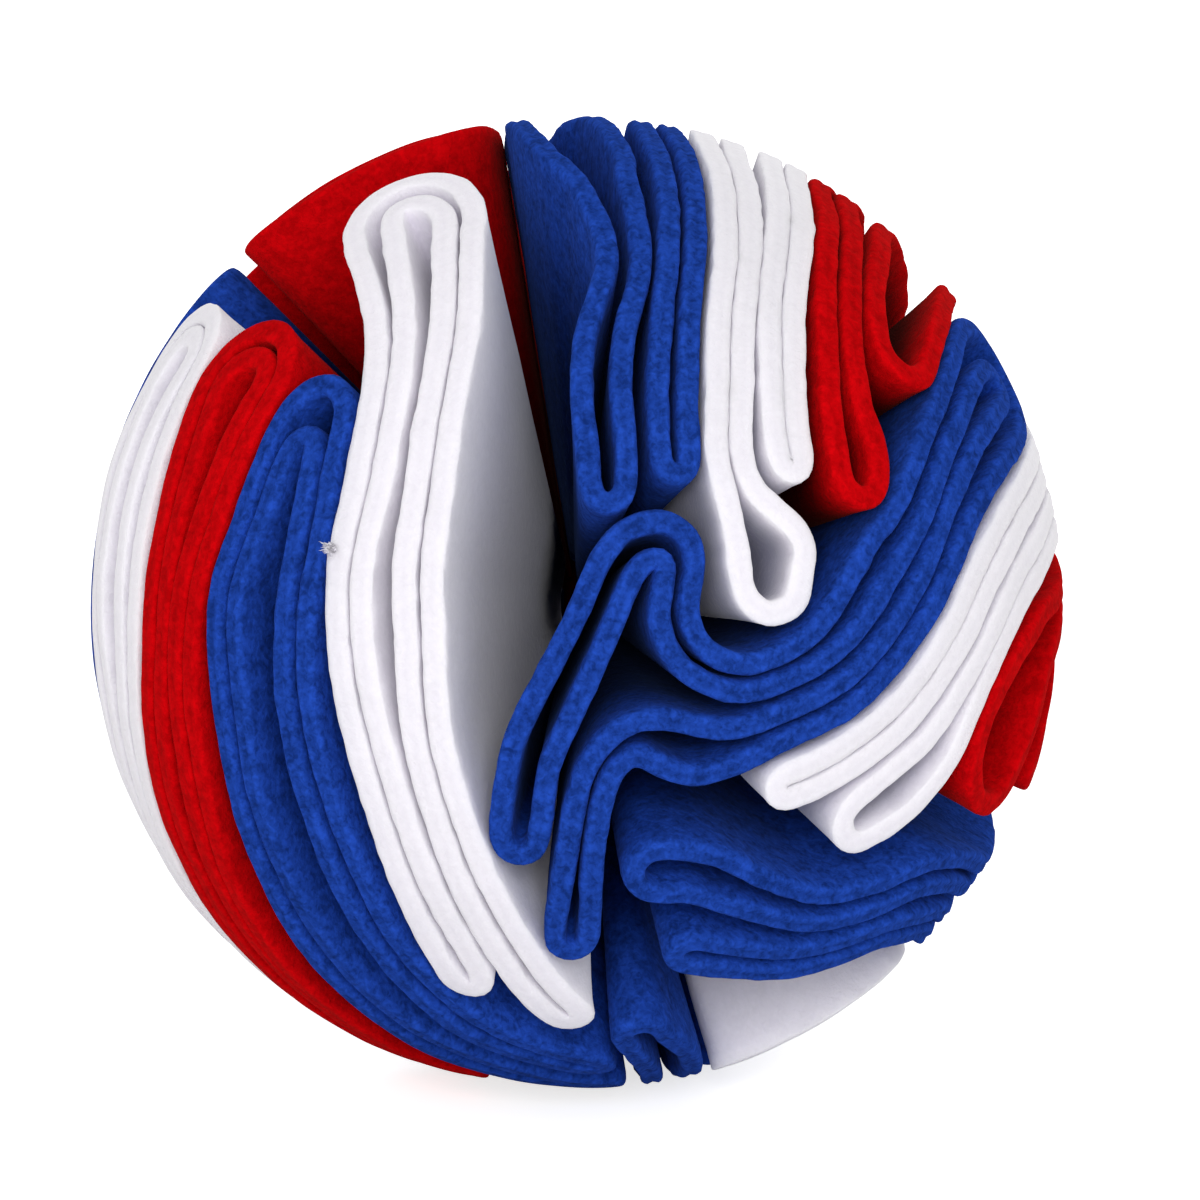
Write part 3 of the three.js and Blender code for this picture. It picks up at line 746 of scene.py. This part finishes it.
def link(tree, *pairs):
    """Links each pair's output to its input."""
    for start, end in pairs:
        tree.links.new(start, end)


def new_group(name, inputs, outputs):
    """A shader group with nothing in it yet, the sockets that give its inputs and the sockets that take
    its outputs. inputs has each one's default, a colour or a number, and outputs each one's kind."""
    group = bpy.data.node_groups.new(name, "ShaderNodeTree")
    for label, value in inputs.items():
        kind = "NodeSocketFloat" if isinstance(value, float) else "NodeSocketColor"
        group.interface.new_socket(label, in_out="INPUT", socket_type=kind).default_value = value
    for label, kind in outputs.items():
        group.interface.new_socket(label, in_out="OUTPUT", socket_type=kind)
    given = add_node(group, "NodeGroupInput", (-1200, 0))
    result = add_node(group, "NodeGroupOutput", (700, 0))
    return group, given.outputs, result.inputs


def pile_group():
    """Shader group for brushed pile: mottled colour, and the height of tufts and clumps."""
    if "Brushed pile" in bpy.data.node_groups:
        return bpy.data.node_groups["Brushed pile"]
    group, given, result = new_group(
        "Brushed pile",
        {"Colour": (0.5, 0.5, 0.5, 1), "Pile size": 0.0006, "Clump size": 0.002, "Mottle": 0.3},
        {"Colour": "NodeSocketColor", "Height": "NodeSocketFloat"})
    place = add_node(group, "ShaderNodeTexCoord", (-1200, 300))
    noises = {}
    for k, name in enumerate(("Pile size", "Clump size")):
        scale = add_node(group, "ShaderNodeMath", (-950, -250 * k), operation="DIVIDE")
        scale.inputs[0].default_value = 1
        noise = add_node(group, "ShaderNodeTexNoise", (-700, -250 * k))
        noise.inputs["Detail"].default_value = 2 + k
        noise.inputs["Distortion"].default_value = NOISE_DISTORTION
        link(
            group, (given[name], scale.inputs[1]), (scale.outputs[0], noise.inputs["Scale"]),
            (place.outputs["Object"], noise.inputs["Vector"]))
        noises[name] = noise.outputs["Fac"]
    tone = add_node(group, "ShaderNodeMath", (-450, 0), operation="MULTIPLY_ADD")
    tone.inputs[1].default_value = TUFT_SHARE
    clumps = add_node(group, "ShaderNodeMath", (-450, -250), operation="MULTIPLY")
    clumps.inputs[1].default_value = CLUMP_SHARE
    spread = add_node(group, "ShaderNodeMapRange", (-200, 100))
    spread.inputs["From Min"].default_value, spread.inputs["From Max"].default_value = NOISE_RANGE
    low = add_node(group, "ShaderNodeMath", (-200, 400), operation="SUBTRACT")
    low.inputs[0].default_value = 1
    high = add_node(group, "ShaderNodeMath", (-200, 250), operation="ADD")
    high.inputs[0].default_value = 1
    shade = add_node(group, "ShaderNodeVectorMath", (100, 100), operation="SCALE")
    link(
        group,
        (noises["Pile size"], tone.inputs[0]), (noises["Clump size"], clumps.inputs[0]),
        (clumps.outputs[0], tone.inputs[2]), (tone.outputs[0], spread.inputs["Value"]),
        (given["Mottle"], low.inputs[1]), (low.outputs[0], spread.inputs["To Min"]),
        (given["Mottle"], high.inputs[1]), (high.outputs[0], spread.inputs["To Max"]),
        (given["Colour"], shade.inputs[0]), (spread.outputs["Result"], shade.inputs["Scale"]),
        (shade.outputs[0], result["Colour"]), (tone.outputs[0], result["Height"]))
    return group


def painted_fold_shade_group():
    """Shader group that paints the shade inside the folds into the colour: the colour fades to its deep
    tint by exp(-(depth / fade)²), and the knit in a cut edge is a little darker."""
    if "Painted fold shade" in bpy.data.node_groups:
        return bpy.data.node_groups["Painted fold shade"]
    group, given, result = new_group(
        "Painted fold shade",
        {
            "Colour": (0.5, 0.5, 0.5, 1), "Deep tint": (0.1, 0.1, 0.1, 1), "Fade": 0.015,
            "Knit tint": 0.8,
        },
        {"Colour": "NodeSocketColor"})
    depth = add_node(group, "ShaderNodeAttribute", (-1200, 300), attribute_name="depth")
    knit = add_node(group, "ShaderNodeAttribute", (-1200, -300), attribute_name="knit")
    run = add_node(group, "ShaderNodeMath", (-950, 200), operation="DIVIDE")
    squared = add_node(group, "ShaderNodeMath", (-750, 200), operation="MULTIPLY")
    turned = add_node(group, "ShaderNodeMath", (-550, 200), operation="MULTIPLY")
    turned.inputs[1].default_value = -1
    # The share of the colour left lit at this depth; the rest becomes painted shade.
    light = add_node(group, "ShaderNodeMath", (-350, 200), operation="EXPONENT")
    deep = add_node(group, "ShaderNodeVectorMath", (-350, -50), operation="MULTIPLY")
    shade = add_node(group, "ShaderNodeMix", (100, 100), data_type="RGBA")
    knit_shade = add_node(group, "ShaderNodeMapRange", (100, -250))
    knit_shade.inputs["To Min"].default_value = 1
    edge = add_node(group, "ShaderNodeVectorMath", (400, 0), operation="SCALE")
    link(
        group,
        (depth.outputs["Fac"], run.inputs[0]), (given["Fade"], run.inputs[1]),
        (run.outputs[0], squared.inputs[0]), (run.outputs[0], squared.inputs[1]),
        (squared.outputs[0], turned.inputs[0]), (turned.outputs[0], light.inputs[0]),
        (given["Colour"], deep.inputs[0]), (given["Deep tint"], deep.inputs[1]),
        (light.outputs[0], shade.inputs["Factor"]), (deep.outputs[0], shade.inputs["A"]),
        (given["Colour"], shade.inputs["B"]), (knit.outputs["Fac"], knit_shade.inputs["Value"]),
        (given["Knit tint"], knit_shade.inputs["To Max"]), (shade.outputs["Result"], edge.inputs[0]),
        (knit_shade.outputs["Result"], edge.inputs["Scale"]), (edge.outputs[0], result["Colour"]))
    return group


def fleece(colour, look):
    """The material of one colour of fleece: rough, mottled, with fuzz that catches the light, and shade
    painted into its folds.
    """
    name = colour.capitalize() + " fleece"
    material = bpy.data.materials.get(name)
    if material:
        return material
    kind = KINDS[colour]
    material = bpy.data.materials.new(name)
    material.use_nodes = True
    tree = material.node_tree
    shader = tree.nodes["Principled BSDF"]
    shader.inputs["Roughness"].default_value = CLOTH_ROUGHNESS
    shader.inputs["Specular IOR Level"].default_value = 0
    shader.inputs["Subsurface Weight"].default_value = kind.glow
    shader.inputs["Subsurface Scale"].default_value = GLOW_REACH
    shader.inputs["Subsurface Radius"].default_value = (1, 1, 1)
    shader.inputs["Sheen Weight"].default_value = kind.sheen
    shader.inputs["Sheen Roughness"].default_value = FUZZ_ROUGHNESS
    shader.inputs["Sheen Tint"].default_value = kind.sheen_tint
    pile = add_node(tree, "ShaderNodeGroup", (-750, 200), node_tree=pile_group())
    pile.inputs["Colour"].default_value = (*getattr(look, colour), 1)
    pile.inputs["Pile size"].default_value = look.pile_size
    pile.inputs["Clump size"].default_value = look.clump_size
    pile.inputs["Mottle"].default_value = kind.mottle
    # Paints the shade of the folds into the base colour, darker with depth below the rim.
    folds = add_node(tree, "ShaderNodeGroup", (-500, 200), node_tree=painted_fold_shade_group())
    folds.inputs["Deep tint"].default_value = kind.deep_tint
    folds.inputs["Fade"].default_value = kind.fade
    folds.inputs["Knit tint"].default_value = kind.knit
    bump = add_node(tree, "ShaderNodeBump", (-250, -100))
    bump.inputs["Strength"].default_value = BUMP_STRENGTH
    bump.inputs["Distance"].default_value = BUMP_DISTANCE
    link(
        tree,
        (pile.outputs["Colour"], folds.inputs["Colour"]),
        (folds.outputs["Colour"], shader.inputs["Base Color"]),
        (pile.outputs["Height"], bump.inputs["Height"]),
        (bump.outputs["Normal"], shader.inputs["Normal"]))
    return material


def bright_for_camera(tree, at):
    """1 for rays from the camera, and for those that reach it by a mirror or glass, else 0."""
    path = add_node(tree, "ShaderNodeLightPath", at)
    either = add_node(tree, "ShaderNodeMath", (at[0] + 200, at[1]), operation="MAXIMUM")
    any_of = add_node(tree, "ShaderNodeMath", (at[0] + 400, at[1]), operation="MAXIMUM")
    link(
        tree,
        (path.outputs["Is Camera Ray"], either.inputs[0]),
        (path.outputs["Is Glossy Ray"], either.inputs[1]),
        (either.outputs[0], any_of.inputs[0]),
        (path.outputs["Is Transmission Ray"], any_of.inputs[1]))
    return any_of.outputs[0]


def floor_paint(look):
    """Matt floor that glows a little for the camera, so that it shows white outside the shadow."""
    paint = bpy.data.materials.new("Floor paint")
    paint.use_nodes = True
    tree = paint.node_tree
    shader = tree.nodes["Principled BSDF"]
    shader.inputs["Base Color"].default_value = (*look.floor, 1)
    shader.inputs["Roughness"].default_value = 1
    shader.inputs["Specular IOR Level"].default_value = 0
    shader.inputs["Emission Color"].default_value = (1, 1, 1, 1)
    glow = add_node(tree, "ShaderNodeMath", (-200, -300), operation="MULTIPLY")
    glow.inputs[1].default_value = FLOOR_GLOW
    link(
        tree, (bright_for_camera(tree, (-900, -300)), glow.inputs[0]),
        (glow.outputs[0], shader.inputs["Emission Strength"]))
    return paint


# Stage


def looking_from(aim):
    """Rotation of a lamp or camera at aim from its target, so that it looks back at it."""
    return (np.arctan2(np.hypot(aim[0], aim[1]), aim[2]), 0, np.arctan2(aim[1], aim[0]) + pi / 2)


def add_floor(scene, look):
    """A round floor."""
    turn = np.linspace(0, 2 * pi, FLOOR_SIDES, endpoint=False)
    rim = np.stack([np.cos(turn), np.sin(turn), np.zeros(FLOOR_SIDES)], axis=1) * FLOOR_RADIUS
    mesh = bpy.data.meshes.new("floor")
    mesh.from_pydata(rim.tolist(), [], [list(range(FLOOR_SIDES))])
    mesh.materials.append(floor_paint(look))
    floor = bpy.data.objects.new("floor", mesh)
    scene.collection.objects.link(floor)


def add_lamp(scene, name, placing, share):
    """A square lamp that looks at the ball's middle. A face square to it gets share of the light at
    which white renders white: a lamp of power P at distance d gives P / (pi d)² of it."""
    place, size = placing
    aim = np.array(place) - np.array([0, 0, scene.snuffle_sizes.middle_height])
    data = bpy.data.lights.new(name, "AREA")
    data.size = size
    data.energy = share * (pi * np.linalg.norm(aim)) ** 2
    lamp = bpy.data.objects.new(name, data)
    lamp.location = place
    lamp.rotation_euler = looking_from(aim)
    lamp.visible_camera = False
    scene.collection.objects.link(lamp)


def add_sky(scene, look):
    """A white sky that gives its share of the light, and is full white for the camera."""
    world = bpy.data.worlds.new("white_room")
    world.use_nodes = True
    tree = world.node_tree
    sky = tree.nodes["Background"]
    sky.inputs["Color"].default_value = (1, 1, 1, 1)
    level = add_node(tree, "ShaderNodeMapRange", (-250, -100))
    level.inputs["To Min"].default_value = look.sky_share
    level.inputs["To Max"].default_value = 1
    link(
        tree, (bright_for_camera(tree, (-1000, -100)), level.inputs["Value"]),
        (level.outputs["Result"], sky.inputs["Strength"]))
    scene.world = world


def add_camera(scene, look, sizes):
    """The camera, square to the ball's face."""
    data = bpy.data.cameras.new("camera")
    data.sensor_width = SENSOR_WIDTH_MM
    data.lens = data.sensor_width * look.camera_distance / look.view_width
    data.shift_x, data.shift_y = BALL_LEFT_OF_MIDDLE, BALL_BELOW_MIDDLE
    camera = bpy.data.objects.new("camera", data)
    aim = np.array([0, -np.cos(sizes.face_tilt), np.sin(sizes.face_tilt)]) * look.camera_distance
    camera.location = aim + np.array([0, 0, sizes.middle_height])
    camera.rotation_euler = looking_from(aim)
    scene.collection.objects.link(camera)
    scene.camera = camera


def set_stage(scene):
    """Floor, two lamps, a white sky and the camera."""
    look = scene.snuffle_stage
    add_floor(scene, look)
    add_lamp(scene, "front_lamp", FRONT_LAMP, look.key_share)
    add_lamp(scene, "back_lamp", BACK_LAMP, look.back_share)
    add_sky(scene, look)
    add_camera(scene, look, scene.snuffle_sizes)
    scene.view_settings.view_transform = "Standard"


# Operators


class FoldsDiscs:
    """Shared by the operators that fold a group of discs"""

    bl_options = {"REGISTER", "UNDO"}
    discs = ()

    def execute(self, context):
        """Folds each disc of the group"""
        for disc in self.discs:
            fold_disc(disc, context.scene)
        return {"FINISHED"}


class SNUFFLE_OT_left_fan(FoldsDiscs, bpy.types.Operator):
    """Fold the discs that fan out on the left of the face"""

    bl_idname = "snuffle.left_fan"
    bl_label = "Left Fan"
    discs = LEFT_FAN


class SNUFFLE_OT_top_discs(FoldsDiscs, bpy.types.Operator):
    """Fold the discs that hang down over the top of the face"""

    bl_idname = "snuffle.top_discs"
    bl_label = "Top Discs"
    discs = TOP_DISCS


class SNUFFLE_OT_right_discs(FoldsDiscs, bpy.types.Operator):
    """Fold the discs that sweep in from the right of the face"""

    bl_idname = "snuffle.right_discs"
    bl_label = "Right Discs"
    discs = RIGHT_DISCS


class SNUFFLE_OT_foot_discs(FoldsDiscs, bpy.types.Operator):
    """Fold the discs at the foot of the face"""

    bl_idname = "snuffle.foot_discs"
    bl_label = "Foot Discs"
    discs = FOOT_DISCS


class SNUFFLE_OT_back_discs(FoldsDiscs, bpy.types.Operator):
    """Fold the discs of the back"""

    bl_idname = "snuffle.back_discs"
    bl_label = "Back Discs"
    discs = BACK_DISCS


class SNUFFLE_OT_stage(bpy.types.Operator):
    """Set the floor, lamps, sky and camera"""

    bl_idname = "snuffle.stage"
    bl_label = "Stage"
    bl_options = {"REGISTER", "UNDO"}

    def execute(self, context):
        """Sets the stage"""
        set_stage(context.scene)
        return {"FINISHED"}


STEPS = (
    SNUFFLE_OT_left_fan,
    SNUFFLE_OT_top_discs,
    SNUFFLE_OT_right_discs,
    SNUFFLE_OT_foot_discs,
    SNUFFLE_OT_back_discs,
    SNUFFLE_OT_stage,
)


class SNUFFLE_PT_panel(bpy.types.Panel):
    """Buttons and sizes of the snuffle ball"""

    bl_idname = "SNUFFLE_PT_panel"
    bl_label = "Snuffle Ball"
    bl_space_type = "VIEW_3D"
    bl_region_type = "UI"
    bl_category = "Snuffle Ball"

    def draw(self, context):
        """Lists the operators, then the settings"""
        for step in STEPS:
            self.layout.operator(step.bl_idname)
        scene = context.scene
        for settings in (scene.snuffle_sizes, scene.snuffle_fleece, scene.snuffle_stage):
            box = self.layout.box()
            for name in settings.__annotations__:
                box.prop(settings, name)


SETTINGS = (BallSizes, FleeceLook, StageLook)
CLASSES = SETTINGS + STEPS + (SNUFFLE_PT_panel,)


def register():
    """Registers the classes and hangs their settings on the scene"""
    for cls in CLASSES:
        bpy.utils.register_class(cls)
    bpy.types.Scene.snuffle_sizes = bpy.props.PointerProperty(type=BallSizes)
    bpy.types.Scene.snuffle_fleece = bpy.props.PointerProperty(type=FleeceLook)
    bpy.types.Scene.snuffle_stage = bpy.props.PointerProperty(type=StageLook)


def unregister():
    """Takes away what register added"""
    del bpy.types.Scene.snuffle_stage
    del bpy.types.Scene.snuffle_fleece
    del bpy.types.Scene.snuffle_sizes
    for cls in reversed(CLASSES):
        bpy.utils.unregister_class(cls)


def main():
    """Builds the ball and its stage"""
    register()
    bpy.ops.snuffle.left_fan()
    bpy.ops.snuffle.top_discs()
    bpy.ops.snuffle.right_discs()
    bpy.ops.snuffle.foot_discs()
    bpy.ops.snuffle.back_discs()
    bpy.ops.snuffle.stage()


if __name__ == "__main__":
    main()
